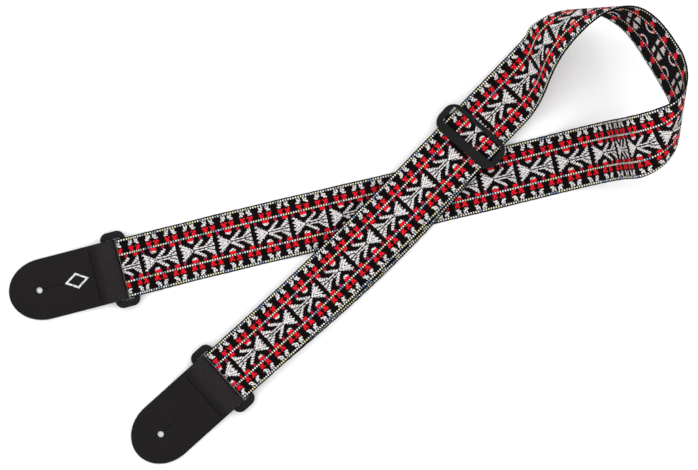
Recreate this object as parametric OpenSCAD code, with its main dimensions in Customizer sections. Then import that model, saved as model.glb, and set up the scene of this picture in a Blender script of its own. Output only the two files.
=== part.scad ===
// Guitar strap, laid out on a flat surface.
// A 50 mm woven band joins two leather ends by rectangular plastic rings, and a slider sets its length.
// Millimetres. Z is up from the surface. The origin is the first strap-button hole's axis, on the surface.

/* [Webbing] */
// Width of the woven band
web_w = 50; // [49:0.5:50.5]
// Thickness of the woven band
web_t = 1.4; // [1.2:0.1:1.4]

/* [Leather ends] */
// Width of each leather end
leather_w = 51; // [50:0.5:51]
// Thickness of the leather
leather_t = 2.2; // [2:0.1:2.4]
// Length of leather beyond the strap-button hole
tip_reach = 25.5; // [24:0.5:28]
// Diameter of the strap-button hole
hole_d = 5.2; // [5:0.1:6.5]
// Length of the slit that lets the hole open over a button
slit_len = 19; // [15:1:22]

/* [End rings] */
// Diameter of a ring's bars
bar_d = 4.6; // [4.2:0.1:4.6]
// Distance between a ring's two long bars
bar_pitch = 16; // [16:0.5:17]
// Distance between a ring's two end bars
ring_span = 59.4; // [59:0.2:62]

/* [Slider] */
// Length of the slider across the band
slider_w = 63; // [62.5:0.5:67]
// Length of the slider along the band
slider_l = 27; // [26:0.5:30]
// Thickness of the slider's outer bars
rail_t = 2.4; // [2:0.1:3]

/* [Layout] */
// Heading of the first leather end and ring, in degrees from +X
head_a = 14.5; // [13:0.5:16]
// Heading of the band as it leaves the second ring
head_b = 42; // [41:0.5:44]
// Heading of the band's straight stretch through the slider
head_s = 46; // [45.5:0.5:46.5]
// How far the slider has turned against the band
skew = 3; // [0:0.5:3]

/* [Hidden] */
$fn = 48;
clear = 0.1;
// Gap between layers that are sewn together, and how far a shape runs into or past its neighbour
layer_gap = 0.05;
over = 1;

black_leather = "#262226";
black_plastic = "#1d1b1e";
black_thread = "#0d0c0e";
weave_colour = "#7a3a3c";

// Heights of the band's layers on the surface and at the rings
half_t = web_t / 2;
bar_r = bar_d / 2;
fold_r = bar_r + clear;
ring_z = leather_t + fold_r;
top_z = ring_z + fold_r + half_t;
low_z = ring_z - fold_r - half_t;

// Places along an end, measured from its strap-button hole towards the band
ring_x = 70;
bar_1 = ring_x - bar_pitch / 2;
bar_2 = ring_x + bar_pitch / 2;
leather_fold = ring_x - 3.6;
web_fold = bar_2 - 2.5;
web_start = ring_x + 34;
leather_seam_x = 48;
leather_lap = 4;
leather_run = 20;
leather_seam_w = 45;
band_seam_w = 46;
stitches_n = 14;
stitch_l = 2.2;
tip_radius = 30;
slit_w = 0.3;
ring_corner = 6.5;

// Radius of each thread, and the height of the thread's middle where it shows on an underside
leather_thread_r = 0.35;
leather_thread_low_r = 0.29;
leather_thread_low_z = 0.3;
band_thread_r = 0.25;
band_thread_low_r = 0.24;
band_thread_low_z = 0.25;
tail_thread_r = 0.2;
band_seam_rows = [ring_x + 21, ring_x + 25];
tail_seam_rows = [-15, -20];

// Second ring, slider, and how far the band runs straight behind and before the slider's middle
ring_b = [153, -73];
stretch_c = [358.8, 127.7];
slide_back = 75;
slide_front = 17.5;
slider_off = 0.3;

// Heights in the slider: the band passes flat over the tail and the pin, and under the rails
main_z = 8.2;
rail_z = main_z + half_t + 0.3;
slider_top = rail_z + rail_t;
tail_r = 1.2;
tail_top = main_z - half_t - 0.3;
tail_z = tail_top - web_t - tail_r;
tail_low = tail_z - tail_r - half_t;
tail_back = 26;
pin_l = 6;
pin_t = 2 * (tail_r - clear);
window_w = web_w + 2.4;
window_l = 15;
window_shift = 2;
slider_corner = 10.5;
under_shift = 2;

// The loose loop on the right is a flat band bent along slanting lines, so nothing in it is stretched.
// Each row: distance back from the straight stretch, slant of the bend lines there (how far one runs
// along the band for each unit across), and the bend in degrees for each millimetre of band.
bends = [
  [0, 0, 0], [20, 0, 0.5], [50, 1, -3], [80, 0, 1], [110, -1, 1.4],
  [140, -1, 2], [170, -0.5, 1.5], [210, -0.5, 0], [240, 0.5, 0.8], [270, 0.5, 1.8],
  [300, 0.8, 3.2], [330, 0, 1.2], [360, 0, -1], [400, 0, -1.2], [450, 0, 0],
];
bend_step = 5;
loop_len = bends[len(bends) - 1][0];
loop_n = loop_len / bend_step;
// Bend lines at which the loop is cut into its three nodes, and where it settles on the surface
top_cut = 32;
right_cut = 50;
settle_from = 400;

function dir(a) = [cos(a), sin(a)];
function left(a) = [-sin(a), cos(a)];
function unit(v) = v / norm(v);
function ease(t) = let (k = min(max(t, 0), 1)) k * k * (3 - 2 * k);
function flat3(p, z) = [p[0], p[1], z];

// A smooth plan curve from p to q that starts on heading a and ends on heading b
function curve(p, a, q, b, t) =
  let (m = norm(q - p))
  (2 * t ^ 3 - 3 * t ^ 2 + 1) * p + (t ^ 3 - 2 * t ^ 2 + t) * m * dir(a)
  + (3 * t ^ 2 - 2 * t ^ 3) * q + (t ^ 3 - t ^ 2) * m * dir(b);
function curve_head(p, a, q, b, t) =
  let (
    m = norm(q - p),
    d = (6 * t ^ 2 - 6 * t) * (p - q) + (3 * t ^ 2 - 4 * t + 1) * m * dir(a)
      + (3 * t ^ 2 - 2 * t) * m * dir(b)
  )
  atan2(d[1], d[0]);

// One cross-section of the band: left top, right top, right bottom, left bottom
function section(l, r, n) = [l + n * half_t, r + n * half_t, r - n * half_t, l - n * half_t];
function level_section(p, a, z) =
  section(flat3(p + left(a) * web_w / 2, z), flat3(p - left(a) * web_w / 2, z), [0, 0, 1]);

// Turn about an axis, as a matrix
function turn(axis, a) =
  let (u = unit(axis), c = cos(a), s = sin(a), k = 1 - cos(a))
  [
    [c + u.x * u.x * k, u.x * u.y * k - u.z * s, u.x * u.z * k + u.y * s],
    [u.y * u.x * k + u.z * s, c + u.y * u.y * k, u.y * u.z * k - u.x * s],
    [u.z * u.x * k - u.y * s, u.z * u.y * k + u.x * s, c + u.z * u.z * k],
  ];

// The loop: a frame (turn and place) for the flat band after each bend line
loop_at = stretch_c + slide_front * dir(head_s);
function slant_at(i) = lookup((i + 0.5) * bend_step, [for (b = bends) [b[0], b[1]]]);
function bend_at(i) = lookup((i + 0.5) * bend_step, [for (b = bends) [b[0], b[2]]]) * bend_step;
function line_end(f, i, s) =
  f[0] * [(i + 0.5) * bend_step + s * slant_at(i) * web_w / 2, s * web_w / 2, 0] + f[1];
function bent(f, i) =
  let (r = line_end(f, i, -1), m = turn(line_end(f, i, 1) - r, bend_at(i)))
  [m * f[0], m * (f[1] - r) + r];
loop_frames = [
  for (
    i = 0, f = [turn([0, 0, 1], head_s), flat3(loop_at, main_z)];
    i <= loop_n;
    f = bent(f, i), i = i + 1
  ) f
];
function settle(p, d) =
  let (z = max(p.z, half_t + clear))
  [p.x, p.y, z + (half_t - z) * ease((d - settle_from) / (loop_len - settle_from))];
function loop_section(i) =
  let (
    f = loop_frames[i], d = (i + 0.5) * bend_step,
    n = f[0] * [0, 0, 1] + loop_frames[i + 1][0] * [0, 0, 1],
    k = ease((d - settle_from) / (loop_len - settle_from))
  )
  section(
    settle(line_end(f, i, 1), d),
    settle(line_end(f, i, -1), d),
    unit(unit(n) * (1 - k) + [0, 0, 1] * k)
  );
last_frame = loop_frames[loop_n];
function last_point(s) = settle(last_frame[0] * [loop_len, s * web_w / 2, 0] + last_frame[1], loop_len);
loop_sections = concat(
  [level_section(loop_at, head_s, main_z)],
  [for (i = [0:loop_n - 1]) loop_section(i)],
  [section(last_point(1), last_point(-1), [0, 0, 1])]
);

// The lower arm runs from the first ring's fold to the end of the loop
arm_a = web_start * dir(head_a);
arm_q = [(last_point(1).x + last_point(-1).x) / 2, (last_point(1).y + last_point(-1).y) / 2];
arm_q_head = atan2(last_frame[0][1][0], last_frame[0][0][0]) - 180;
arm_n = 14;
lower_sections = concat(
  [for (k = [0:arm_n - 1])
    let (
      t = k / arm_n,
      p = curve(arm_a, head_a, arm_q, arm_q_head, t),
      e = curve_head(arm_a, head_a, arm_q, arm_q_head, t)
    )
    level_section(p, e, half_t)],
  [section(last_point(-1), last_point(1), [0, 0, 1])]
);

// The upper arm runs from the second ring's fold to the straight stretch, rising slightly
hole_b = ring_b - ring_x * dir(head_b);
arm_b = hole_b + web_start * dir(head_b);
stretch = stretch_c - slide_back * dir(head_s);
rise_n = 10;
upper_sections = concat(
  [for (k = [0:rise_n])
    let (
      t = k / rise_n,
      p = curve(arm_b, head_b, stretch, head_s, t),
      e = curve_head(arm_b, head_b, stretch, head_s, t)
    )
    level_section(p, e, top_z + (main_z - top_z) * ease(2 * t))],
  [level_section(loop_at, head_s, main_z)]
);

// The under run follows the upper arm a little to its right, between the ring's fold and the tail
head_k = head_s + skew;
slider_c = stretch_c + slider_off * left(head_s);
tail_end = slider_c - tail_back * dir(head_k);
under_n = 14;
under_sections = [
  for (k = [0:under_n])
    let (
      t = k / under_n,
      e = curve_head(arm_b, head_b, tail_end, head_k, t),
      p = curve(arm_b, head_b, tail_end, head_k, t) - left(e) * under_shift * sin(180 * t)
    )
    level_section(p, e, low_z + (tail_low - low_z) * ease(2 * t))
];

// A plan or side outline of constant thickness along a path
function side(p, i) =
  let (d = unit(p[min(i + 1, len(p) - 1)] - p[max(i - 1, 0)])) [-d[1], d[0]];
function stroke(p, t) = concat(
  [for (i = [0:len(p) - 1]) p[i] + side(p, i) * t / 2],
  [for (i = [len(p) - 1:-1:0]) p[i] - side(p, i) * t / 2]
);
function slope(x0, z0, x1, z1, n = 8) =
  [for (k = [0:n]) [x0 + (x1 - x0) * k / n, z0 + (z1 - z0) * ease(k / n)]];
// Half turns in a side outline: fold goes round a bar's side nearest the button hole, fold_path round
// the side nearest the band
function fold(x, z, r, n = 12) =
  [for (k = [0:n]) let (a = -90 - 180 * k / n) [x + r * cos(a), z + r * sin(a)]];
function fold_path(x, z, r, n = 14) =
  [for (k = [0:n]) let (a = -90 + 180 * k / n) [x + r * cos(a), z + r * sin(a)]];

module place_b() {
  translate([hole_b[0], hole_b[1], 0])
    rotate(head_b)
      children();
}

module place_a() {
  rotate(head_a)
    children();
}

module place_slider() {
  translate([slider_c[0], slider_c[1], 0])
    rotate(head_k)
      children();
}

// A side profile, X along the band and Z up, made as wide as the band or the leather
module across(path, t, w) {
  rotate([90, 0, 0])
    translate([0, 0, -w / 2])
      linear_extrude(w)
        polygon(stroke(path, t));
}

// The band swept through cross-sections
module ribbon(s) {
  n = len(s);
  polyhedron(
    [for (q = s) for (p = q) p],
    concat(
      [[0, 1, 2, 3]],
      [for (i = [0:n - 2])
        for (k = [0:3])
          let (a = 4 * i + k, b = 4 * i + (k + 1) % 4)
          each [[a, a + 4, b + 4], [a, b + 4, b]]],
      [[4 * n - 1, 4 * n - 2, 4 * n - 3, 4 * n - 4]]
    )
  );
}

function part_of(s, from, to) = [for (i = [from:to]) s[i]];

// Leather end, in its own frame: hole at X 0. From the hidden flap under the ring it goes round the
// ring's first bar, down over the flap to the seam, and flat on to the tip
leather_mid = 1.5 * leather_t + layer_gap;
leather_top = ring_z + fold_r + leather_t / 2;
leather_dip = leather_fold - 5.4;
leather_low = leather_seam_x + 2.2;
leather_step = leather_seam_x - 4.5;
leather_path = concat(
  [[leather_seam_x - leather_lap, leather_t / 2]],
  fold_path(leather_fold, ring_z, fold_r + leather_t / 2),
  slope(leather_dip, leather_top, leather_low, leather_mid),
  slope(leather_step, leather_mid, leather_seam_x - leather_run, leather_t / 2),
  [[-tip_reach, leather_t / 2]]
);

module leather_plan() {
  tip_c = tip_radius - tip_reach;
  plan_end = ring_x + 10;
  polygon(concat(
    [for (a = [90:6:270]) [tip_c + tip_radius * cos(a), leather_w / 2 * sin(a)]],
    [[plan_end, -leather_w / 2], [plan_end, leather_w / 2]]
  ));
}

module leather_end() {
  color(black_leather)
    difference() {
      intersection() {
        across(leather_path, leather_t, leather_w);
        translate([0, 0, -over])
          linear_extrude(leather_top + leather_t)
            leather_plan();
      }
      translate([0, 0, -over])
        cylinder(h = leather_t + 2 * over, d = hole_d);
      translate([0, -slit_w / 2, -over])
        cube([hole_d / 2 + slit_len, slit_w, leather_t + 2 * over]);
    }
}

// A row of stitches across the band or the leather, half sunk in its face
module stitch_row(x, z, w, r) {
  pitch = w / stitches_n;
  for (k = [0:stitches_n - 1])
    translate([x, (k + 0.5) * pitch - w / 2, z])
      rotate([90, 0, 0])
        cylinder(h = stitch_l, r = r, center = true, $fn = 16);
}

module leather_seam() {
  color(black_thread) {
    stitch_row(leather_seam_x, leather_mid + leather_t / 2, leather_seam_w, leather_thread_r);
    stitch_row(leather_seam_x, leather_thread_low_z, leather_seam_w, leather_thread_low_r);
  }
}

// Rectangular ring: two round bars joined by a flat end block at each side
module end_ring() {
  ring_l = bar_pitch + bar_d;
  ring_w = ring_span + bar_d;
  inner_w = leather_w + 0.8;
  color(black_plastic)
    translate([ring_x, 0, ring_z])
      union() {
        for (s = [-1, 1])
          translate([s * bar_pitch / 2, 0, 0])
            rotate([90, 0, 0])
              cylinder(h = inner_w + 2 * over, r = bar_r, center = true);
        linear_extrude(bar_d, center = true)
          difference() {
            rounded(ring_l, ring_w, ring_corner);
            square([ring_l + 2 * over, inner_w], center = true);
          }
      }
}

// Band folded round the first ring's second bar and sewn to itself: the flap underneath, the fold,
// then back down over the flap to the surface
module webbing_fixed_end() {
  lap = 1.5 * web_t + layer_gap;
  flap_end = ring_x + 28;
  flap_flat = ring_x + 26;
  flap_rise = ring_x + 18;
  top_dip = ring_x + 9;
  lap_start = ring_x + 19;
  lap_end = ring_x + 28.6;
  color(weave_colour)
    place_a()
      across(concat(
        slope(flap_end, half_t, flap_flat, half_t, 1),
        slope(flap_rise, half_t, web_fold + 2, low_z),
        fold(web_fold, ring_z, fold_r + half_t),
        slope(top_dip, top_z, lap_start, lap),
        slope(lap_end, lap, web_start - 0.5, half_t, 6),
        [[web_start, half_t]]
      ), web_t, web_w);
}

module fixed_end_seam() {
  color(black_thread)
    place_a()
      for (x = band_seam_rows) {
        stitch_row(x, 2 * web_t + layer_gap, band_seam_w, band_thread_r);
        stitch_row(x, band_thread_low_z, band_seam_w, band_thread_low_r);
      }
}

module webbing_lower_arm() {
  color(weave_colour)
    ribbon(lower_sections);
}

module webbing_right_curl() {
  color(weave_colour)
    ribbon(part_of(loop_sections, right_cut, len(loop_sections) - 1));
}

module webbing_back_run() {
  color(weave_colour)
    ribbon(part_of(loop_sections, top_cut, right_cut));
}

module webbing_top_curl() {
  color(weave_colour)
    ribbon(part_of(loop_sections, 0, top_cut));
}

module webbing_upper_arm() {
  color(weave_colour)
    ribbon(upper_sections);
}

// Band turned back under itself round the second ring's second bar
module webbing_ring_b_fold() {
  color(weave_colour)
    place_b()
      across(concat(
        [[web_start, low_z]],
        fold(web_fold, ring_z, fold_r + half_t),
        [[web_start, top_z]]
      ), web_t, web_w);
}

module webbing_under_run() {
  color(weave_colour)
    ribbon(under_sections);
}

// Slider: a frame over the band with a window in it, two end walls, and one pin under the band
module slider() {
  foot_z = tail_z - pin_t / 2;
  color(black_plastic)
    place_slider()
      union() {
        translate([0, 0, rail_z])
          linear_extrude(rail_t)
            difference() {
              rounded(slider_l, slider_w, slider_corner);
              translate([window_shift, 0])
                square([window_l, window_w], center = true);
            }
        translate([0, 0, foot_z])
          linear_extrude(rail_z - foot_z)
            difference() {
              rounded(slider_l, slider_w, slider_corner);
              square([slider_l + 2 * over, window_w], center = true);
            }
        translate([0, 0, tail_z])
          rotate([90, 0, 0])
            linear_extrude(window_w + 2 * over, center = true) {
              square([pin_l - pin_t, pin_t], center = true);
              for (s = [-1, 1])
                translate([s * (pin_l - pin_t) / 2, 0])
                  circle(d = pin_t);
            }
      }
}

// Rounded rectangle
module rounded(l, w, r) {
  square([l - 2 * r, w], center = true);
  square([l, w - 2 * r], center = true);
  for (x = [-1, 1])
    for (y = [-1, 1])
      translate([x * (l / 2 - r), y * (w / 2 - r)])
        circle(r = r);
}

// Band's tail, folded round the slider's pin and sewn to itself
module webbing_tail_loop() {
  lap = tail_low + web_t + layer_gap;
  tail_high = tail_z + tail_r + half_t;
  tail_dip = 4;
  lap_start = 12;
  lap_end = 23;
  color(weave_colour)
    place_slider()
      mirror([1, 0, 0])
        across(concat(
          [[tail_back, tail_low], [0, tail_low]],
          fold(-pin_l / 2 + 1, tail_z, tail_r + half_t, 10),
          [[pin_l / 2 - 1, tail_high]],
          slope(tail_dip, tail_high, lap_start, lap),
          [[lap_end, lap]]
        ), web_t, web_w);
}

module tail_seam() {
  color(black_thread)
    place_slider()
      for (x = tail_seam_rows)
        stitch_row(x, tail_low + 1.5 * web_t + layer_gap, band_seam_w, tail_thread_r);
}

place_a() leather_end();  // leather_end_a
place_a() leather_seam();  // leather_seam_a
place_a() end_ring();  // end_ring_a
webbing_fixed_end();
fixed_end_seam();
webbing_lower_arm();
webbing_right_curl();
webbing_back_run();
webbing_top_curl();
webbing_upper_arm();
webbing_ring_b_fold();
webbing_under_run();
slider();
webbing_tail_loop();
tail_seam();
place_b() end_ring();  // end_ring_b
place_b() leather_seam();  // leather_seam_b
place_b() leather_end();  // leather_end_b
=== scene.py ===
from math import atan2, cos, hypot, pi, radians, sin

import bpy
from mathutils import Matrix, Vector


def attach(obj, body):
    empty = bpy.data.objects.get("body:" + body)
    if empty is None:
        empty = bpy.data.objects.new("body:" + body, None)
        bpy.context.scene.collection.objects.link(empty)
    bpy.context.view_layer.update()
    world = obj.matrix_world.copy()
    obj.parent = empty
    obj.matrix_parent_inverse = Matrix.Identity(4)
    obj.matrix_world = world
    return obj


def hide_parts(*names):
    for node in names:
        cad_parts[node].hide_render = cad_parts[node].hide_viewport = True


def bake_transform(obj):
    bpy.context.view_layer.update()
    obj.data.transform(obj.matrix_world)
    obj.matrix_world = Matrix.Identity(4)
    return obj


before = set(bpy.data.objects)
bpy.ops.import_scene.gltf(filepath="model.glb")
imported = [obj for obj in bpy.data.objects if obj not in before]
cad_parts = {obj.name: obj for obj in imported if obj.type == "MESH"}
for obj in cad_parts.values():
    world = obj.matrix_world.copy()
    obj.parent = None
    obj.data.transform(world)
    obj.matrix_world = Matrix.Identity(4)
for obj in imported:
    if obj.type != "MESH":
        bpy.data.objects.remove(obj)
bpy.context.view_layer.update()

# ---------------------------------------------------------------- camera
# Straight above the laid strap, far enough for a long lens, picture-up along +Y
cam_data = bpy.data.cameras.new("camera")
cam_data.sensor_width = 36
cam_data.lens = 92.8
cam = bpy.data.objects.new("camera", cam_data)
cam.location = (0.2578, 0.0461, 1.5)
bpy.context.scene.collection.objects.link(cam)
bpy.context.scene.camera = cam

# ---------------------------------------------------------------- the strap's sizes, in metres
# The band, the leather, a ring bar's radius, and the gaps between layers that move and that are sewn
WIDE = 0.050
THICK = 0.0014
LEATHER = 0.0022
BAR = 0.0023
CLEAR = 0.0001
SEWN_GAP = 0.00005
HALF = THICK / 2

# Heights of the rings and of the band's middle above and below a ring's bar
FOLD = BAR + CLEAR
RING_Z = LEATHER + FOLD
TOP_Z = RING_Z + FOLD + HALF
LOW_Z = RING_Z - FOLD - HALF

# Places along an end, measured from its strap-button hole towards the band
RING_X = 0.070
BAR_2 = RING_X + 0.008
WEB_FOLD = BAR_2 - 0.0025
WEB_START = RING_X + 0.034
SEAM_X = 0.048
HOLE_R = 0.0026

# Headings in degrees: the two ends, the straight stretch through the slider, and the slider's turn
HEAD_A = 14.5
HEAD_B = 42
HEAD_S = 46
SKEW = 3
HEAD_K = HEAD_S + SKEW

# Second ring, the slider, and the straight stretch that the band makes through it
START = Vector((0, 0))
RING_B = Vector((0.153, -0.073))
STRETCH_C = Vector((0.3588, 0.1277))
SLIDE_BACK = 0.075
SLIDE_FRONT = 0.0175
SLIDER_OFF = 0.0003
SLIDER_GAP = 0.0003
MAIN_Z = 0.0082

# The tail's loop round the slider's pin, and the stretch of band under the upper arm
TAIL_R = 0.0012
TAIL_Z = MAIN_Z - HALF - SLIDER_GAP - THICK - TAIL_R
TAIL_LOW = TAIL_Z - TAIL_R - HALF
TAIL_LAP = TAIL_LOW + THICK + SEWN_GAP
TAIL_BACK = 0.026
PIN_L = 0.006
UNDER_SHIFT = 0.002

# The loose loop: distance back from the straight stretch, slant of the bend lines, degrees per millimetre
BENDS = [
    (0, 0, 0), (20, 0, 0.5), (50, 1, -3), (80, 0, 1), (110, -1, 1.4),
    (140, -1, 2), (170, -0.5, 1.5), (210, -0.5, 0), (240, 0.5, 0.8), (270, 0.5, 1.8),
    (300, 0.8, 3.2), (330, 0, 1.2), (360, 0, -1), (400, 0, -1.2), (450, 0, 0),
]
STEP = 5
LOOP_LEN = BENDS[-1][0]
SETTLE_FROM = 400
TOP_CUT = 32
RIGHT_CUT = 50

# The band's own places are in millimetres: u along it from the first ring to the second, v across it
IN_MM = 1000
HALF_MM = WIDE / 2 * IN_MM

# The woven pattern repeats every PERIOD; PHASE is where it stands at the lower end of the loop, and PACE
# brings a whole number of repeats to the loop's other end. The second ring's fold takes up FOLD_B_MM
PERIOD = 32.15
PHASE = 12.4
REPEATS = 14
PACE = (REPEATS * PERIOD - PHASE) / LOOP_LEN
U_TOP = REPEATS * PERIOD
FOLD_B_MM = 62

# Cross-sections on each stretch, and where an arm is divided into two pieces
LOWER_N = 120
LOWER_SPLIT = 60
UPPER_N = 100
UPPER_SPLIT = 75
STRAIGHT_N = 36
UNDER_N = 100
LOOP_FINE = 4

UP = Vector((0, 0, 1))


def heading(a):
    return Vector((cos(radians(a)), sin(radians(a))))


def left(a):
    return Vector((-sin(radians(a)), cos(radians(a))))


def ease(t):
    k = min(max(t, 0), 1)
    return k * k * (3 - 2 * k)


def lookup(x, column):
    for a, b in zip(BENDS, BENDS[1:]):
        if x <= b[0]:
            return a[column] + (b[column] - a[column]) * (x - a[0]) / (b[0] - a[0])
    return BENDS[-1][column]


def curve(p, a, q, b, t):
    """A smooth plan curve from p on heading a to q on heading b: its point and heading at t."""
    m = (q - p).length
    at = (
        (2 * t ** 3 - 3 * t ** 2 + 1) * p + (t ** 3 - 2 * t ** 2 + t) * m * heading(a)
        + (3 * t ** 2 - 2 * t ** 3) * q + (t ** 3 - t ** 2) * m * heading(b)
    )
    d = (
        (6 * t ** 2 - 6 * t) * (p - q) + (3 * t ** 2 - 4 * t + 1) * m * heading(a)
        + (3 * t ** 2 - 2 * t) * m * heading(b)
    )
    return at, atan2(d.y, d.x) * 180 / pi


def spline(a, b, c, d, t):
    """A smooth curve through four values, between the middle two."""
    return 0.5 * (
        2 * b + (c - a) * t + (2 * a - 5 * b + 4 * c - d) * t * t + (3 * b - a - 3 * c + d) * t ** 3
    )


def length_of(points):
    """The length of a line of points, in millimetres."""
    return sum((q - p).length for p, q in zip(points, points[1:])) * IN_MM


# ---------------------------------------------------------------- the band's course
# A cross-section of the band is its +v edge, its -v edge, its front's normal, and u at each edge
def level(p, a, z, u):
    """A cross-section that lies flat at height z."""
    e = left(a) * WIDE / 2
    return (Vector((p.x + e.x, p.y + e.y, z)), Vector((p.x - e.x, p.y - e.y, z)), UP, u, u)


def flipped(section):
    """The same cross-section with the band's front turned down."""
    l, r, n, ul, ur = section
    return (r, l, -n, ul, ur)


HOLE_B = RING_B - RING_X * heading(HEAD_B)
ARM_B = HOLE_B + WEB_START * heading(HEAD_B)
LOOP_AT = STRETCH_C + SLIDE_FRONT * heading(HEAD_S)
SLIDER_C = STRETCH_C + SLIDER_OFF * left(HEAD_S)
TAIL_END = SLIDER_C - TAIL_BACK * heading(HEAD_K)


def loop_lines():
    """The loop's bend lines from the straight stretch outwards, and the heading at their end."""
    turn = Matrix.Rotation(radians(HEAD_S), 3, "Z")
    move = Vector((LOOP_AT.x, LOOP_AT.y, MAIN_Z))
    rows = []

    def edges(d, lean):
        return [
            turn @ Vector(((d + s * lean) / IN_MM, s * WIDE / 2, 0)) + move for s in (1, -1)
        ]

    def settling(d):
        return ease((d - SETTLE_FROM) / (LOOP_LEN - SETTLE_FROM))

    def settled(p, d):
        z = max(p.z, HALF + CLEAR)
        return Vector((p.x, p.y, z + (HALF - z) * settling(d)))

    l, r = edges(0, 0)
    rows.append((l, r, UP, 0, 0))
    for i in range(LOOP_LEN // STEP):
        d = (i + 0.5) * STEP
        lean = lookup(d, 1) * HALF_MM
        l, r = edges(d, lean)
        before = turn @ UP
        bend = Matrix.Rotation(radians(lookup(d, 2) * STEP), 3, l - r)
        move = bend @ (move - r) + r
        turn = bend @ turn
        k = settling(d)
        n = (before + turn @ UP).normalized() * (1 - k) + UP * k
        rows.append((settled(l, d), settled(r, d), n.normalized(), d + lean, d - lean))
    l, r = edges(LOOP_LEN, 0)
    rows.append((settled(l, LOOP_LEN), settled(r, LOOP_LEN), UP, LOOP_LEN, LOOP_LEN))
    onward = turn @ Vector((1, 0, 0))
    return rows, atan2(onward.y, onward.x) * 180 / pi


def refined(rows, n):
    """More cross-sections between the given ones, on smooth curves through them."""
    out = []
    for i in range(len(rows) - 1):
        four = [rows[min(max(i + k, 0), len(rows) - 1)] for k in (-1, 0, 1, 2)]
        for k in range(n):
            out.append(tuple(spline(*(r[j] for r in four), k / n) for j in range(5)))
    out.append(rows[-1])
    return out


def loop_u(d):
    """The band's u at a distance back from the straight stretch."""
    return PHASE + (LOOP_LEN - d) * PACE


LINES, LOOP_HEAD = loop_lines()
# The edges swap sides here, because the bend lines run backwards along the band
LOOP = refined([(r, l, n, loop_u(ur), loop_u(ul)) for l, r, n, ul, ur in LINES], LOOP_FINE)


def loop_part(a, b):
    """The loop between two bend lines, in the direction in which u grows."""
    return LOOP[LOOP_FINE * a:LOOP_FINE * b + 1][::-1]


def lower_arm():
    """From the first ring's fold to the loop."""
    start = WEB_START * heading(HEAD_A)
    middle = (LINES[-1][0] + LINES[-1][1]) / 2
    end = Vector((middle.x, middle.y))
    course = [
        curve(start, HEAD_A, end, LOOP_HEAD - 180, k / LOWER_N) for k in range(LOWER_N + 1)
    ]
    points = [p for p, a in course]
    u0 = PHASE - length_of(points)
    return [level(p, a, HALF, u0 + length_of(points[:k + 1])) for k, (p, a) in enumerate(course)]


def upper_arm():
    """From the slider's straight stretch down to the second ring's fold."""
    stretch = STRETCH_C - SLIDE_BACK * heading(HEAD_S)
    course = [curve(ARM_B, HEAD_B, stretch, HEAD_S, k / UPPER_N) for k in range(UPPER_N + 1)]
    height = [TOP_Z + (MAIN_Z - TOP_Z) * ease(2 * k / UPPER_N) for k in range(UPPER_N + 1)]
    for k in range(1, STRAIGHT_N + 1):
        course.append((stretch + (LOOP_AT - stretch) * k / STRAIGHT_N, HEAD_S))
        height.append(MAIN_Z)
    course.reverse()
    height.reverse()
    points = [p for p, a in course]
    return [
        level(p, a + 180, height[k], U_TOP + length_of(points[:k + 1]))
        for k, (p, a) in enumerate(course)
    ]


def under_arm(u0):
    """From the second ring's fold back to the tail, front face down."""
    course = []
    for k in range(UNDER_N + 1):
        p, a = curve(ARM_B, HEAD_B, TAIL_END, HEAD_K, k / UNDER_N)
        course.append((p - left(a) * UNDER_SHIFT * sin(pi * k / UNDER_N), a))
    points = [p for p, a in course]
    height = [LOW_Z + (TAIL_LOW - LOW_Z) * ease(2 * k / UNDER_N) for k in range(UNDER_N + 1)]
    return [
        flipped(level(p, a, height[k], u0 + length_of(points[:k + 1])))
        for k, (p, a) in enumerate(course)
    ]


# Side profiles of the folded stretches: x along the heading, z up
def arc(x, z, r, a0, a1, n=16):
    turns = [radians(a0 + (a1 - a0) * k / n) for k in range(n + 1)]
    return [(x + r * cos(a), z + r * sin(a)) for a in turns]


def slope(x0, z0, x1, z1, n=12):
    return [(x0 + (x1 - x0) * k / n, z0 + (z1 - z0) * ease(k / n)) for k in range(n + 1)]


def gap_between(p, q):
    return hypot(q[0] - p[0], q[1] - p[1])


def filled(path, gap=0.0025):
    """The same side profile with long straights cut into short ones."""
    out = [path[0]]
    for p, q in zip(path, path[1:]):
        n = max(1, int(gap_between(p, q) / gap))
        out += [
            (p[0] + (q[0] - p[0]) * k / n, p[1] + (q[1] - p[1]) * k / n) for k in range(1, n + 1)
        ]
    return out


def profile(path, origin, head, u0, side=1):
    """Cross-sections for a side profile whose front is on its left (side 1) or its right (side -1)."""
    same = 1e-6
    path = [p for i, p in enumerate(path) if i == 0 or gap_between(path[i - 1], p) > same]
    rows = []
    run = 0
    h = heading(head)
    for i, (x, z) in enumerate(path):
        p = path[max(i - 1, 0)]
        q = path[min(i + 1, len(path) - 1)]
        d = Vector((q[0] - p[0], q[1] - p[1])).normalized()
        n = Vector((-d.y * h.x, -d.y * h.y, d.x)) * side
        run += gap_between(p, (x, z)) * IN_MM
        along = Vector((d.x * h.x, d.x * h.y, d.y))
        e = n.cross(along) * WIDE / 2
        c = Vector((origin.x + x * h.x, origin.y + x * h.y, z))
        rows.append((c + e, c - e, n, u0 + run, u0 + run))
    return rows


def fixed_end(u1):
    """The fixed end: a flap underneath, the fold round the first ring, then back down over the flap."""
    lap = 1.5 * THICK + SEWN_GAP
    flap_end = RING_X + 0.028
    flap_rise = RING_X + 0.018
    top_dip = RING_X + 0.009
    lap_start = RING_X + 0.019
    lap_end = RING_X + 0.0286
    path = filled(
        [(flap_end, HALF)]
        + slope(flap_rise, HALF, WEB_FOLD + 0.002, LOW_Z)
        + arc(WEB_FOLD, RING_Z, FOLD + HALF, -90, -270)
        + slope(top_dip, TOP_Z, lap_start, lap)
        + slope(lap_end, lap, WEB_START - 0.0005, HALF, 6)
        + [(WEB_START, HALF)]
    )
    run = sum(gap_between(p, q) for p, q in zip(path, path[1:])) * IN_MM
    return profile(path, START, HEAD_A, u1 - run)


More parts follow.
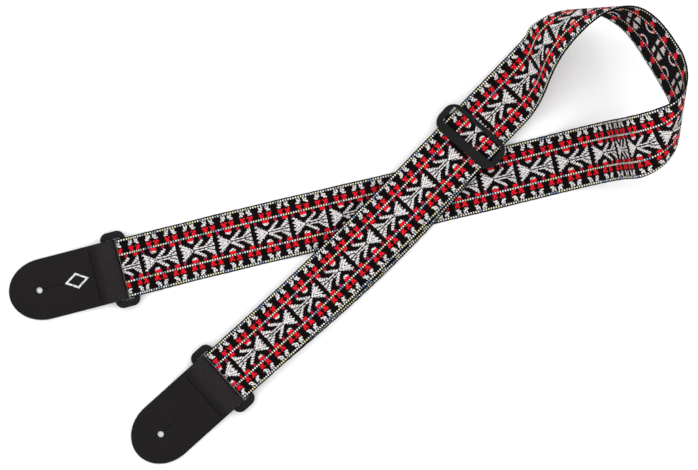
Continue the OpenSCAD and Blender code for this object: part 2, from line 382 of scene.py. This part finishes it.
def ring_b_fold(u0):
    path = filled(
        [(WEB_START, TOP_Z)]
        + arc(WEB_FOLD, RING_Z, FOLD + HALF, 90, 270)
        + [(WEB_START, LOW_Z)]
    )
    return profile(path, HOLE_B, HEAD_B, u0, -1)


def tail(u0):
    """The tail: under the slider, round its pin and back down onto itself."""
    high = TAIL_Z + TAIL_R + HALF
    pin_x = PIN_L / 2 - 0.001
    dip = -0.004
    lap_start = -0.012
    lap_end = -0.023
    path = filled(
        [(-TAIL_BACK, TAIL_LOW), (0, TAIL_LOW)]
        + arc(pin_x, TAIL_Z, TAIL_R + HALF, -90, 90, 12)
        + [(-pin_x, high)]
        + slope(dip, high, lap_start, TAIL_LAP)
        + [(lap_end, TAIL_LAP)]
    )
    return profile(path, SLIDER_C, HEAD_K, u0, -1)


# ---------------------------------------------------------------- meshes
def add_object(name, verts, faces, smooth=True):
    mesh = bpy.data.meshes.new(name)
    mesh.from_pydata([tuple(v) for v in verts], [], faces)
    mesh.validate()
    if smooth:
        mesh.shade_smooth()
    obj = bpy.data.objects.new(name, mesh)
    bpy.context.scene.collection.objects.link(obj)
    return obj


# The band's cross-section, as shares of its half width and half thickness: rounded at its selvedges, which
# wander in and out by two small waves along the band
COLUMNS = 30
SELVEDGE = [(-1, 0), (-0.992, 0.62), (-0.972, 0.94)]
FLAT_SHARE = 0.95
WAVE_A = 0.004
WAVE_B = 0.003


def band_outline():
    """Points round the cross-section, from the -v edge over the front and back along the reverse."""
    shape = SELVEDGE + [
        (-FLAT_SHARE + 2 * FLAT_SHARE * k / COLUMNS, 1) for k in range(COLUMNS + 1)
    ]
    shape += [(-x, z) for x, z in SELVEDGE[::-1]]
    return shape + [(x, -z) for x, z in shape[1:-1][::-1]]


def band(name, rows, body, node):
    """The band through its cross-sections: two faces and rounded selvedges, with u and v for the weave."""
    shape = band_outline()
    first_reverse = COLUMNS + 2 * len(SELVEDGE)
    n = len(shape)
    verts = []
    weave = []
    for l, r, normal, ul, ur in rows:
        wobble = 1 + WAVE_A * sin((ul + ur) * 1.13) + WAVE_B * sin((ul + ur) * 0.37)
        for x, z in shape:
            s = (1 + x) / 2
            across = x * wobble / (1 + WAVE_A + WAVE_B) if abs(x) > FLAT_SHARE else x
            side = (l + r) / 2 + (l - r) / 2 * across
            verts.append(side + normal * HALF * z)
            weave.append((ur + (ul - ur) * s, x * HALF_MM, 1 if z > 0 else -1))
    faces = []
    back = []
    for i in range(len(rows) - 1):
        for k in range(n):
            a = i * n + k
            b = i * n + (k + 1) % n
            faces.append((a, b, b + n, a + n))
            back.append(1 if k >= first_reverse else 0)
    faces.append(tuple(range(n))[::-1])
    faces.append(tuple(range((len(rows) - 1) * n, len(rows) * n)))
    back += [0, 0]
    obj = add_object(name, verts, faces)
    flow = obj.data.attributes.new("weave", "FLOAT_VECTOR", "POINT")
    flow.data.foreach_set("vector", [x for w in weave for x in w])
    obj.data.materials.append(FRONT)
    obj.data.materials.append(REVERSE)
    for poly, b in zip(obj.data.polygons, back):
        poly.material_index = b
    if body:
        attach(obj, body)
    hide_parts(node)
    middle = [(row[0] + row[1]) / 2 for row in rows]
    length_of(middle) / 1000
    return obj


# ---------------------------------------------------------------- materials
class Value:
    """A number that varies over the surface: arithmetic on it adds nodes."""

    def __init__(self, tree, socket):
        self.tree = tree
        self.socket = socket

    def calc(self, op, *others):
        node = self.tree.nodes.new("ShaderNodeMath")
        node.operation = op
        for slot, x in zip(node.inputs, (self,) + others):
            if isinstance(x, Value):
                self.tree.links.new(x.socket, slot)
            else:
                slot.default_value = x
        return Value(self.tree, node.outputs[0])

    def __add__(self, x):
        return self.calc("ADD", x)

    def __sub__(self, x):
        return self.calc("SUBTRACT", x)

    def __mul__(self, x):
        return self.calc("MULTIPLY", x)

    def __truediv__(self, x):
        return self.calc("DIVIDE", x)

    def __lt__(self, x):
        return self.calc("LESS_THAN", x)

    def __gt__(self, x):
        return self.calc("GREATER_THAN", x)

    def __and__(self, x):
        return self.calc("MULTIPLY", x)

    def __or__(self, x):
        return self.calc("MAXIMUM", x)

    def within(self, low, high):
        return (self > low) & (self < high)

    def wrapped(self, period):
        return self.calc("FLOORED_MODULO", period)

    def floor(self):
        return self.calc("FLOOR")

    def size(self):
        return self.calc("ABSOLUTE")

    def sine(self):
        return self.calc("SINE")

    def least(self, x):
        return self.calc("MINIMUM", x)

    def flip(self):
        return self.calc("MULTIPLY", -1) + 1


def new_material(name, rough, sheen=0.0, specular=0.5):
    mat = bpy.data.materials.new(name)
    mat.use_nodes = True
    shader = mat.node_tree.nodes["Principled BSDF"]
    shader.inputs["Roughness"].default_value = rough
    shader.inputs["Sheen Weight"].default_value = sheen
    shader.inputs["Specular IOR Level"].default_value = specular
    return mat, mat.node_tree, shader


def object_place(tree):
    return tree.nodes.new("ShaderNodeTexCoord").outputs["Object"]


def noise(tree, vector, scale, detail):
    node = tree.nodes.new("ShaderNodeTexNoise")
    node.inputs["Scale"].default_value = scale
    node.inputs["Detail"].default_value = detail
    tree.links.new(vector, node.inputs["Vector"])
    return Value(tree, node.outputs["Fac"])


def random_of(value, other=None):
    """A steady random number for each whole value, or pair of values."""
    tree = value.tree
    node = tree.nodes.new("ShaderNodeTexWhiteNoise")
    if other is None:
        node.noise_dimensions = "1D"
        tree.links.new(value.socket, node.inputs["W"])
    else:
        node.noise_dimensions = "2D"
        both = tree.nodes.new("ShaderNodeCombineXYZ")
        tree.links.new(value.socket, both.inputs[0])
        tree.links.new(other.socket, both.inputs[1])
        tree.links.new(both.outputs[0], node.inputs["Vector"])
    return Value(tree, node.outputs["Value"])


def mix(tree, mask, a, b):
    """Colour a where the mask is 0, and colour b where it is 1."""
    node = tree.nodes.new("ShaderNodeMix")
    node.data_type = "RGBA"
    tree.links.new(mask.socket, node.inputs[0])
    for slot, x in ((node.inputs[6], a), (node.inputs[7], b)):
        if isinstance(x, tuple):
            slot.default_value = x + (1,)
        else:
            tree.links.new(x, slot)
    return node.outputs[2]


def bump(tree, shader, height, strength, distance):
    node = tree.nodes.new("ShaderNodeBump")
    node.inputs["Strength"].default_value = strength
    node.inputs["Distance"].default_value = distance
    tree.links.new(height.socket, node.inputs["Height"])
    tree.links.new(node.outputs[0], shader.inputs["Normal"])


# The yarns' colours, each from its plain shade to its other one
BLACK = (0.0024, 0.0015, 0.0016)
BLACK_WORN = (0.0055, 0.0036, 0.0042)
WHITE = (0.80, 0.77, 0.76)
WHITE_SHADED = (0.33, 0.31, 0.32)
RED = (0.84, 0.010, 0.018)
RED_SHADED = (0.38, 0.006, 0.014)
CRIMSON = (0.42, 0.010, 0.030)
CRIMSON_SHADED = (0.20, 0.005, 0.022)
DOT_GAP = (0.004, 0.005, 0.014)
DOT_WHITE = (0.74, 0.74, 0.70)
DOT_YELLOW = (0.68, 0.64, 0.36)
DOT_BLUE = (0.22, 0.32, 0.50)

# One cell of the weave, across and along the band, and the rows of dots, in millimetres
YARN = 0.5
PICK = 0.6
DOT = PERIOD / 15
DOT_LONG = 1.12
DOT_HALF_WIDE = 0.66
DOT_ROWS = (11.5, 23.1)
DOT_SIDES_MEET = 18


def weave_material(name, motif):
    """Woven yarn along the band: each small cell of the weave shows one colour, staggered by row."""
    mat, tree, shader = new_material(name, rough=0.8, sheen=0.01, specular=0.03)
    place = tree.nodes.new("ShaderNodeAttribute")
    place.attribute_name = "weave"
    split = tree.nodes.new("ShaderNodeSeparateXYZ")
    tree.links.new(place.outputs["Vector"], split.inputs[0])
    u = Value(tree, split.outputs[0])
    v = Value(tree, split.outputs[1])
    row = (v / YARN).floor()
    shift = random_of(row)
    pick = (u / PICK + shift).floor()
    cell_u = (pick - shift + 0.5) * PICK
    cell_w = ((row + 0.5) * YARN).size()
    white, red, crimson = motif(cell_u, cell_w)

    away = v.size()
    spot = u.wrapped(DOT)
    inner, outer = [(away - w).size() < DOT_HALF_WIDE for w in DOT_ROWS]
    dotted = inner | outer
    dots = dotted & (spot < DOT_LONG)
    gap = dotted & (spot > DOT_LONG)
    tint = random_of((u / DOT).floor(), (v > 0) + (away > DOT_SIDES_MEET) * 2)

    grey = random_of(row, pick)
    wave = (cell_u * 1.6 + cell_w * 2.9).sine()
    streak = (wave + 1) * 0.3 + grey * 0.4
    frayed = (wave + grey * 0.8) > 1.25
    white = white & frayed.flip()

    dot_colour = mix(tree, tint > 0.66, DOT_WHITE, DOT_YELLOW)
    dot_colour = mix(tree, tint < 0.2, dot_colour, DOT_BLUE)
    colour = mix(tree, grey, BLACK, BLACK_WORN)
    colour = mix(tree, white, colour, mix(tree, streak, WHITE, WHITE_SHADED))
    colour = mix(tree, red, colour, mix(tree, streak, RED, RED_SHADED))
    colour = mix(tree, crimson, colour, mix(tree, grey, CRIMSON_SHADED, CRIMSON))
    colour = mix(tree, gap, colour, mix(tree, tint, BLACK, DOT_GAP))
    colour = mix(tree, dots, colour, dot_colour)
    tree.links.new(colour, shader.inputs["Base Color"])

    ridge = ((v / YARN) * (2 * pi)).sine()
    twist = ((u / PICK + shift) * (2 * pi)).sine()
    lit = (white | red) | (crimson | dots)
    height = ridge * 0.25 + twist * 0.15 + lit * 0.5 + grey * 0.2
    bump(tree, shader, height, strength=0.55, distance=0.00025)
    return mat


# The two motifs give the white, red and crimson areas at u along the band and w from its middle, in
# millimetres. p is the place in a repeat; teeth and combs give the shapes their stepped edges
def front_motif(u, w):
    """Leaves and fans mirrored about the band's middle, with paired buds along each edge."""
    p = u.wrapped(PERIOD)
    h = (u + 2.8).wrapped(PERIOD / 2)
    d = h.least(h.flip() + (PERIOD / 2 - 1))
    tooth = ((w * 1.9 - 0.9).sine() + 1) * 1.1
    comb = ((p * 3.4).sine() + 1) * 0.3

    fan = (p > tooth + 1.9) & (w < (p - 12.0) * -0.80 + comb * 1.8) & (w < 7.8)
    leaf = ((w - (p - 13.0) * 0.72 - 0.6).size() < comb * 1.6 + 0.75) & p.within(12.6, 22.4)
    stem = w.within(0.3, 1.5) & p.within(13.4, 24.6)
    frond = (w < (p - 21.6) * 0.88 + comb * 1.6) & p.within(21.9, 30.6)
    vein = ((w - (p - 24.0) * 0.42 - 0.9).size() < 0.5) & p.within(24.2, 30.8)
    bell = (p - 12.2) / 2.5
    brow = (w - 8.2) / 2.4
    under = ((bell * bell + brow * brow) < 1) & (w < 8.2)
    leaves = leaf | (stem | (frond & vein.flip()))
    feet = w.within(17.7, 19.2) & d.within(2.2, 5.3)
    torso = w.within(18.9, 21.9) & d.within(1.1, 4.3)
    notch = w.within(20.8, 22.0) & d.within(2.2, 3.2)
    white = (leaves & w.within(0.35, 8.2)) | (fan | (under | (feet | (torso & notch.flip()))))

    wings = (w.within(14.5, 16.4) & d.within(0.9, 5.3)) | (w.within(12.3, 14.8) & d.within(1.2, 4.2))
    waist = (w.within(13.6, 15.2) & (d < 1.9)) | (w.within(15.7, 16.6) & d.within(2.4, 3.2))
    cap = w.within(8.2, 10.6) & (((p - 12.2).size() < 2.7) | ((p - 28.8).size() < 2.2))
    crimson = w.within(8.0, 10.6) & (((p - 3.3).size() < 1.0) | ((p - 20.6).size() < 1.2))
    edge = w.within(12.3, 14.2) & d.within(4.1, 5.0)
    return white, (wings & waist.flip()) | cap, crimson | edge


def reverse_motif(u, w):
    """The back of the weave: darker, with looser hooks and feathers than the front."""
    p = u.wrapped(PERIOD)
    q = (u.wrapped(PERIOD / 2) - 8).size()
    comb = ((p * 3.4).sine() + 1) * 0.35
    tooth = ((w * 3.3).sine() + 1) * 0.6
    bud = w.within(18.9, 22.2) & (q < (w - 18.9) * 0.35 + 1.3)
    across = (p - 8.5) / 5.0
    down = (w - 9.4) / 5.2
    bow = across * across + down * down
    hook = bow.within(0.52, 1.12) & (w < 9.0)
    reach = (w - 8.6) * -0.32 + tooth * 0.6 + comb * 0.5 + 0.6
    wedge = w.within(1.8, 8.3) & ((p - 20.6).size() < reach)
    drop = w.within(2.2, 8.2) & ((p - 28.4).size() < tooth * 0.5 + 1.0)
    white = bud | (hook | (wedge | drop))
    red = (q + (w - 14.6).size() * 0.7) < 2.9
    ends = w.within(8.6, 10.8) & (((p - 3.6).size() < 1.3) | ((p - 13.4).size() < 1.3))
    crimson = w.within(8.5, 10.8) & (((p - 21.6).size() < 1.3) | ((p - 27.4).size() < 1.2))
    return white, (red & (w > 12.2)) | ends, crimson


def leather_material():
    """Grained black leather, with a painted sheen: paler where it rises over a ring."""
    mat, tree, shader = new_material("black_leather", rough=0.55, specular=0.11)
    coords = object_place(tree)
    cells = tree.nodes.new("ShaderNodeTexVoronoi")
    cells.feature = "DISTANCE_TO_EDGE"
    cells.inputs["Scale"].default_value = 900
    tree.links.new(coords, cells.inputs["Vector"])
    creases = Value(tree, cells.outputs["Distance"])
    blotch = noise(tree, coords, scale=60, detail=4)
    split = tree.nodes.new("ShaderNodeSeparateXYZ")
    tree.links.new(coords, split.inputs[0])
    # Painted sheen: the grained leather is coloured paler where it rises above 4.5 mm, over the ring
    painted_sheen_mask = ((Value(tree, split.outputs[2]) - 0.0045) * 400).least(1)
    flat_colour = mix(tree, blotch, (0.0036, 0.0026, 0.0034), (0.0078, 0.0060, 0.0074))
    grain = creases.least(0.3) * 3
    painted_sheen_colour = mix(tree, grain, (0.006, 0.005, 0.006), (0.021, 0.018, 0.020))
    colour = mix(tree, painted_sheen_mask, flat_colour, painted_sheen_colour)
    tree.links.new(colour, shader.inputs["Base Color"])
    rough = blotch * 0.2 + 0.48
    tree.links.new(rough.socket, shader.inputs["Roughness"])
    height = creases.least(0.25) * 2 + noise(tree, coords, scale=1400, detail=3) * 0.6
    bump(tree, shader, height, strength=0.35, distance=0.0003)
    return mat


def plastic_material():
    mat, tree, shader = new_material("black_plastic", rough=0.38, specular=0.14)
    coords = object_place(tree)
    cloud = noise(tree, coords, scale=90, detail=3)
    colour = mix(tree, cloud, (0.0022, 0.0018, 0.0022), (0.0045, 0.0038, 0.0045))
    tree.links.new(colour, shader.inputs["Base Color"])
    rough = cloud * 0.16 + 0.30
    tree.links.new(rough.socket, shader.inputs["Roughness"])
    bump(tree, shader, noise(tree, coords, scale=1800, detail=2), strength=0.12, distance=0.0001)
    return mat


def thread_material():
    mat, tree, shader = new_material("black_thread", rough=0.75, sheen=0.02, specular=0.05)
    wave = tree.nodes.new("ShaderNodeTexWave")
    wave.bands_direction = "DIAGONAL"
    wave.inputs["Scale"].default_value = 900
    wave.inputs["Distortion"].default_value = 1.5
    tree.links.new(object_place(tree), wave.inputs["Vector"])
    ply = Value(tree, wave.outputs["Fac"])
    colour = mix(tree, ply, (0.0010, 0.0008, 0.0010), (0.0050, 0.0042, 0.0050))
    tree.links.new(colour, shader.inputs["Base Color"])
    bump(tree, shader, ply, strength=0.5, distance=0.0001)
    return mat


def foil_material():
    """Silver foil, worn through in spots."""
    mat, tree, shader = new_material("silver_foil", rough=0.42)
    shader.inputs["Metallic"].default_value = 0.85
    worn = noise(tree, object_place(tree), scale=700, detail=4)
    colour = mix(tree, worn > 0.42, (0.20, 0.20, 0.21), (0.62, 0.62, 0.63))
    tree.links.new(colour, shader.inputs["Base Color"])
    bump(tree, shader, worn, strength=0.2, distance=0.0001)
    return mat


FRONT = weave_material("webbing_front", front_motif)
REVERSE = weave_material("webbing_reverse", reverse_motif)
LEATHER_MAT = leather_material()
PLASTIC_MAT = plastic_material()
THREAD_MAT = thread_material()
FOIL_MAT = foil_material()


# ---------------------------------------------------------------- the band
def whole_band():
    """Every stretch of the one band, in its order from the first ring, with u running on."""
    lower = lower_arm()
    upper = upper_arm()
    fold_u = upper[-1][3]
    under = under_arm(fold_u + FOLD_B_MM)
    band("band_fixed_end", fixed_end(lower[0][3]), "band", "webbing_fixed_end")
    band("band_lower_arm_left", lower[:LOWER_SPLIT + 1], "band", "webbing_lower_arm")
    band("band_lower_arm_right", lower[LOWER_SPLIT:], "band", "webbing_lower_arm")
    band("band_right_curl", loop_part(RIGHT_CUT, len(LINES) - 1), "band", "webbing_right_curl")
    band("band_back_run", loop_part(TOP_CUT, RIGHT_CUT), "band", "webbing_back_run")
    band("band_top_curl", loop_part(0, TOP_CUT), "band", "webbing_top_curl")
    band("band_upper_arm_right", upper[:UPPER_SPLIT + 1], "band", "webbing_upper_arm")
    band("band_upper_arm_left", upper[UPPER_SPLIT:], "band", "webbing_upper_arm")
    band("band_ring_b_fold", ring_b_fold(fold_u), "band", "webbing_ring_b_fold")
    band("band_tail", tail(under[-1][3]), "slider_body", "webbing_tail_loop")
    under_run = band("band_under_run", under, None, "webbing_under_run")
    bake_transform(under_run)


whole_band()

# ---------------------------------------------------------------- leather, rings and slider
LEATHER_EDGE = 0.00025
SLIDER_EDGE = 0.0009
RING_EDGE = 0.0007


def softened(node, name, body, mat, edge):
    """A CAD piece with its sharp edges rounded, as leather or moulding has them."""
    obj = bpy.data.objects.new(name, bpy.data.objects[node].data.copy())
    obj.data.name = name
    bpy.context.scene.collection.objects.link(obj)
    obj.data.materials.clear()
    obj.data.materials.append(mat)
    weld = obj.modifiers.new("weld", "WELD")
    weld.merge_threshold = 0.00001
    bevel = obj.modifiers.new("bevel", "BEVEL")
    bevel.width = edge
    bevel.segments = 3
    bevel.limit_method = "ANGLE"
    bevel.angle_limit = radians(32)
    bevel.harden_normals = False
    obj.data.shade_smooth()
    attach(obj, body)
    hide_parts(node)


softened("leather_end_a", "leather_a", "tab_a", LEATHER_MAT, LEATHER_EDGE)
softened("leather_end_b", "leather_b", "tab_b", LEATHER_MAT, LEATHER_EDGE)
softened("slider", "slider_body_moulding", "slider_body", PLASTIC_MAT, SLIDER_EDGE)
softened("end_ring_a", "ring_a_moulding", "ring_a", PLASTIC_MAT, RING_EDGE)
softened("end_ring_b", "ring_b_moulding", "ring_b", PLASTIC_MAT, RING_EDGE)


# ---------------------------------------------------------------- stitches
STITCHES = 14
STITCH_RINGS = 7
STITCH_SIDES = 8
STITCH_LEAN = 0.00012


def stitches(name, node, body, origin, head, rows, width, length, radius):
    """Rows of stitches across an end or the tail, each a short tube whose ends dip into the face.

    A row is its x along the heading, its height, and 1 on an upper face or -1 on an underside.
    """
    verts = []
    faces = []
    h = heading(head)
    e = left(head)
    for x, z, side in rows:
        for k in range(STITCHES):
            y = (k + 0.5) * width / STITCHES - width / 2
            base = len(verts)
            for j in range(STITCH_RINGS):
                t = j / (STITCH_RINGS - 1) * 2 - 1
                r = radius * (1 - 0.25 * t * t)
                dip = side * 0.6 * radius * t * t
                for m in range(STITCH_SIDES):
                    a = 2 * pi * m / STITCH_SIDES
                    sx = x + r * cos(a) + STITCH_LEAN * t
                    sy = y + t * length / 2
                    sz = z + r * sin(a) - dip
                    verts.append((origin.x + sx * h.x + sy * e.x, origin.y + sx * h.y + sy * e.y, sz))
            for j in range(STITCH_RINGS - 1):
                for m in range(STITCH_SIDES):
                    a = base + j * STITCH_SIDES + m
                    b = base + j * STITCH_SIDES + (m + 1) % STITCH_SIDES
                    faces.append((a, b, b + STITCH_SIDES, a + STITCH_SIDES))
            last = base + (STITCH_RINGS - 1) * STITCH_SIDES
            faces.append(tuple(base + m for m in range(STITCH_SIDES))[::-1])
            faces.append(tuple(last + m for m in range(STITCH_SIDES)))
    obj = add_object(name, verts, faces)
    obj.data.materials.append(THREAD_MAT)
    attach(obj, body)
    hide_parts(node)


LEATHER_SEAM_W = 0.045
BAND_SEAM_W = 0.046
STITCH_LIFT = 0.0001
LEATHER_MID = 1.5 * LEATHER + SEWN_GAP
LEATHER_ROWS = [(SEAM_X, LEATHER_MID + LEATHER / 2 + STITCH_LIFT, 1), (SEAM_X, 0.0006, -1)]
FIXED_SEAM_X = (RING_X + 0.021, RING_X + 0.025)
FIXED_FACES = ((2 * THICK + STITCH_LIFT, 1), (0.0003, -1))
FIXED_ROWS = [(x, z, side) for x in FIXED_SEAM_X for z, side in FIXED_FACES]
TAIL_SEAM_X = (-0.015, -0.020)
TAIL_ROWS = [(x, TAIL_LAP + HALF, 1) for x in TAIL_SEAM_X]

stitches("leather_stitches_a", "leather_seam_a", "tab_a", START, HEAD_A,
         LEATHER_ROWS, LEATHER_SEAM_W, length=0.0020, radius=0.0007)
stitches("leather_stitches_b", "leather_seam_b", "tab_b", HOLE_B, HEAD_B,
         LEATHER_ROWS, LEATHER_SEAM_W, length=0.0020, radius=0.0007)
stitches("band_stitches", "fixed_end_seam", "band", START, HEAD_A,
         FIXED_ROWS, BAND_SEAM_W, length=0.0022, radius=0.0003)
stitches("tail_stitches", "tail_seam", "slider_body", SLIDER_C, HEAD_K,
         TAIL_ROWS, BAND_SEAM_W, length=0.0022, radius=0.0002)

# ---------------------------------------------------------------- the foil stamp and the slits
# Where the upper face of a leather end starts to rise before its seam, and over what length
RISE_X = SEAM_X - 0.020
RISE_L = 0.0155

# The stamp's middle, its outer and inner half sizes (long way, short way), and its lower and upper face
FOIL_X = 0.0325
FOIL_SIZES = ((0.0105, 0.0068), (0.0078, 0.0048))
FOIL_LIFTS = (0.00001, 0.00006)


def leather_top(x):
    """Height of a leather end's upper face, x from its button hole."""
    return LEATHER + (LEATHER_MID - LEATHER / 2) * ease((x - RISE_X) / RISE_L)


def lozenge():
    """A plain hollow lozenge stamped in silver foil, lying on the leather."""
    verts = []
    faces = []
    h = heading(HEAD_A)
    e = left(HEAD_A)
    n = 10
    corners = [(1, 0), (0, 1), (-1, 0), (0, -1)]
    for lift in FOIL_LIFTS:
        for long_way, short_way in FOIL_SIZES:
            for i in range(4):
                a = corners[i]
                b = corners[(i + 1) % 4]
                for k in range(n):
                    x = FOIL_X + long_way * (a[0] + (b[0] - a[0]) * k / n)
                    y = short_way * (a[1] + (b[1] - a[1]) * k / n)
                    z = leather_top(x) + lift
                    verts.append((x * h.x + y * e.x, x * h.y + y * e.y, z))
    m = 4 * n
    for k in range(m):
        j = (k + 1) % m
        faces.append((2 * m + k, 2 * m + j, 3 * m + j, 3 * m + k))
        faces.append((k, m + k, m + j, j))
        faces.append((k, j, 2 * m + j, 2 * m + k))
        faces.append((m + j, m + k, 3 * m + k, 3 * m + j))
    obj = add_object("foil_lozenge", verts, faces, smooth=False)
    obj.data.materials.append(FOIL_MAT)
    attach(obj, "tab_a")


SLIT_FROM = HOLE_R + 0.0001
SLIT_LONG = 0.0188
SLIT_HALF = 0.00014
SLIT_LOW = 0.0004
SLIT_HIGH = LEATHER - 0.0007


def slit(name, body, origin, head):
    """The cut beside a button hole, closed up: a wedge lying low between its sides for the meeting leather
    edges, in the darker thread colour as painted shade inside the cut.
    """
    verts = []
    h = heading(head)
    e = left(head)
    n = 12
    for k in range(n + 1):
        x = SLIT_FROM + SLIT_LONG * k / n
        half = SLIT_HALF * (1 - 0.5 * (k / n) ** 3)
        top = half * 0.6
        for y, z in ((-half, SLIT_LOW), (half, SLIT_LOW), (top, SLIT_HIGH), (-top, SLIT_HIGH)):
            verts.append((origin.x + x * h.x + y * e.x, origin.y + x * h.y + y * e.y, z))
    faces = [(3, 2, 1, 0), (4 * n, 4 * n + 1, 4 * n + 2, 4 * n + 3)]
    for k in range(n):
        for m in range(4):
            a = 4 * k + m
            b = 4 * k + (m + 1) % 4
            faces.append((a, b, b + 4, a + 4))
    obj = add_object(name, verts, faces, smooth=False)
    # Painted shade: the near-black thread material darkens the cut below the leather's own colour
    obj.data.materials.append(THREAD_MAT)
    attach(obj, body)


lozenge()
slit("slit_a", "tab_a", START, HEAD_A)
slit("slit_b", "tab_b", HOLE_B, HEAD_B)

# ---------------------------------------------------------------- floor and light
FLOOR_HALF = 3
FLOOR_Z = -0.0003

corners = [(-1, -1), (1, -1), (1, 1), (-1, 1)]
floor = add_object("floor", [(x * FLOOR_HALF, y * FLOOR_HALF, FLOOR_Z) for x, y in corners], [(0, 1, 2, 3)])
floor_mat, _, floor_shader = new_material("pale_floor", rough=0.9, specular=0.1)
floor_shader.inputs["Base Color"].default_value = (0.93, 0.93, 0.93, 1)
floor.data.materials.append(floor_mat)

world = bpy.data.worlds.new("studio")
world.use_nodes = True
world.node_tree.nodes["Background"].inputs["Color"].default_value = (1, 1, 1, 1)
world.node_tree.nodes["Background"].inputs["Strength"].default_value = 1.25
bpy.context.scene.world = world
bpy.context.scene.view_settings.view_transform = "Standard"


def softbox(name, place, size, power):
    """A square soft light aimed at the middle of the strap."""
    target = Vector((0.25, 0.05, 0))
    data = bpy.data.lights.new(name, "AREA")
    data.shape = "SQUARE"
    data.size = size
    data.energy = power
    obj = bpy.data.objects.new(name, data)
    obj.location = place
    obj.rotation_euler = (target - Vector(place)).to_track_quat("-Z", "Y").to_euler()
    bpy.context.scene.collection.objects.link(obj)


softbox("key", (-0.5, 0.9, 1.5), size=0.9, power=6)
softbox("fill", (1.3, -0.4, 1.4), size=1.2, power=2.5)
